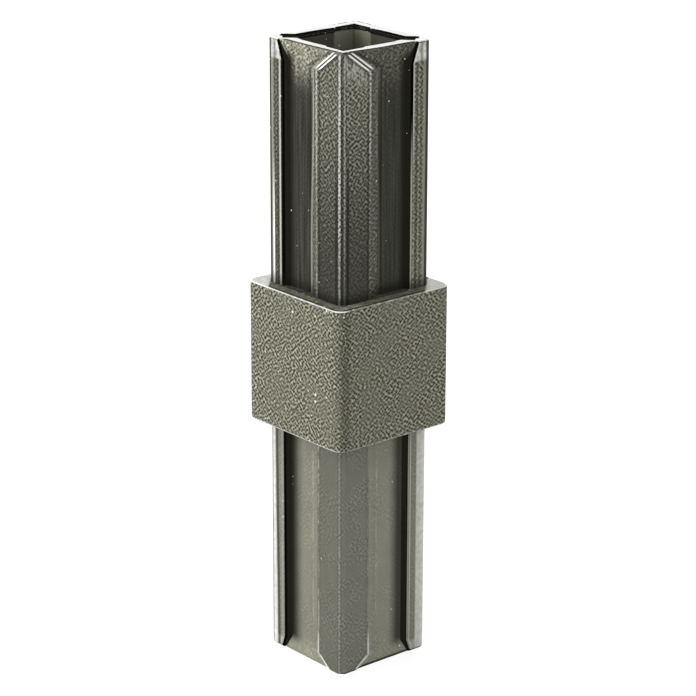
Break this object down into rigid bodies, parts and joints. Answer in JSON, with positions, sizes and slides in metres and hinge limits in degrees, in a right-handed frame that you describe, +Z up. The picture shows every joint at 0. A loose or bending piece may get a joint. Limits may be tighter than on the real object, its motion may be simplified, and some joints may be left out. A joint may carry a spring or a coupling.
{
  "type": "square tube connector",
  "caption": "Straight moulded plastic connector: a square collar between hollow square spigots with raised corner pads that push into the ends of square tubes.",
  "frame": {"origin": "centre of the lower spigot's end, on the surface that the connector stands on", "axes": "+Z up along the tube axis; the wide front corner pad is at +X -Y and the narrow pads are at +X +Y and -X -Y"},
  "size_m": [0.025, 0.025, 0.11],
  "materials": {
    "tube_connector": "dark warm grey moulded plastic, fine spark-eroded grain on the collar and a smoother semi-gloss on the spigots"
  },
  "bodies": {
    "root": {"tube_connector": "tube_connector"}
  },
  "joints": []
}
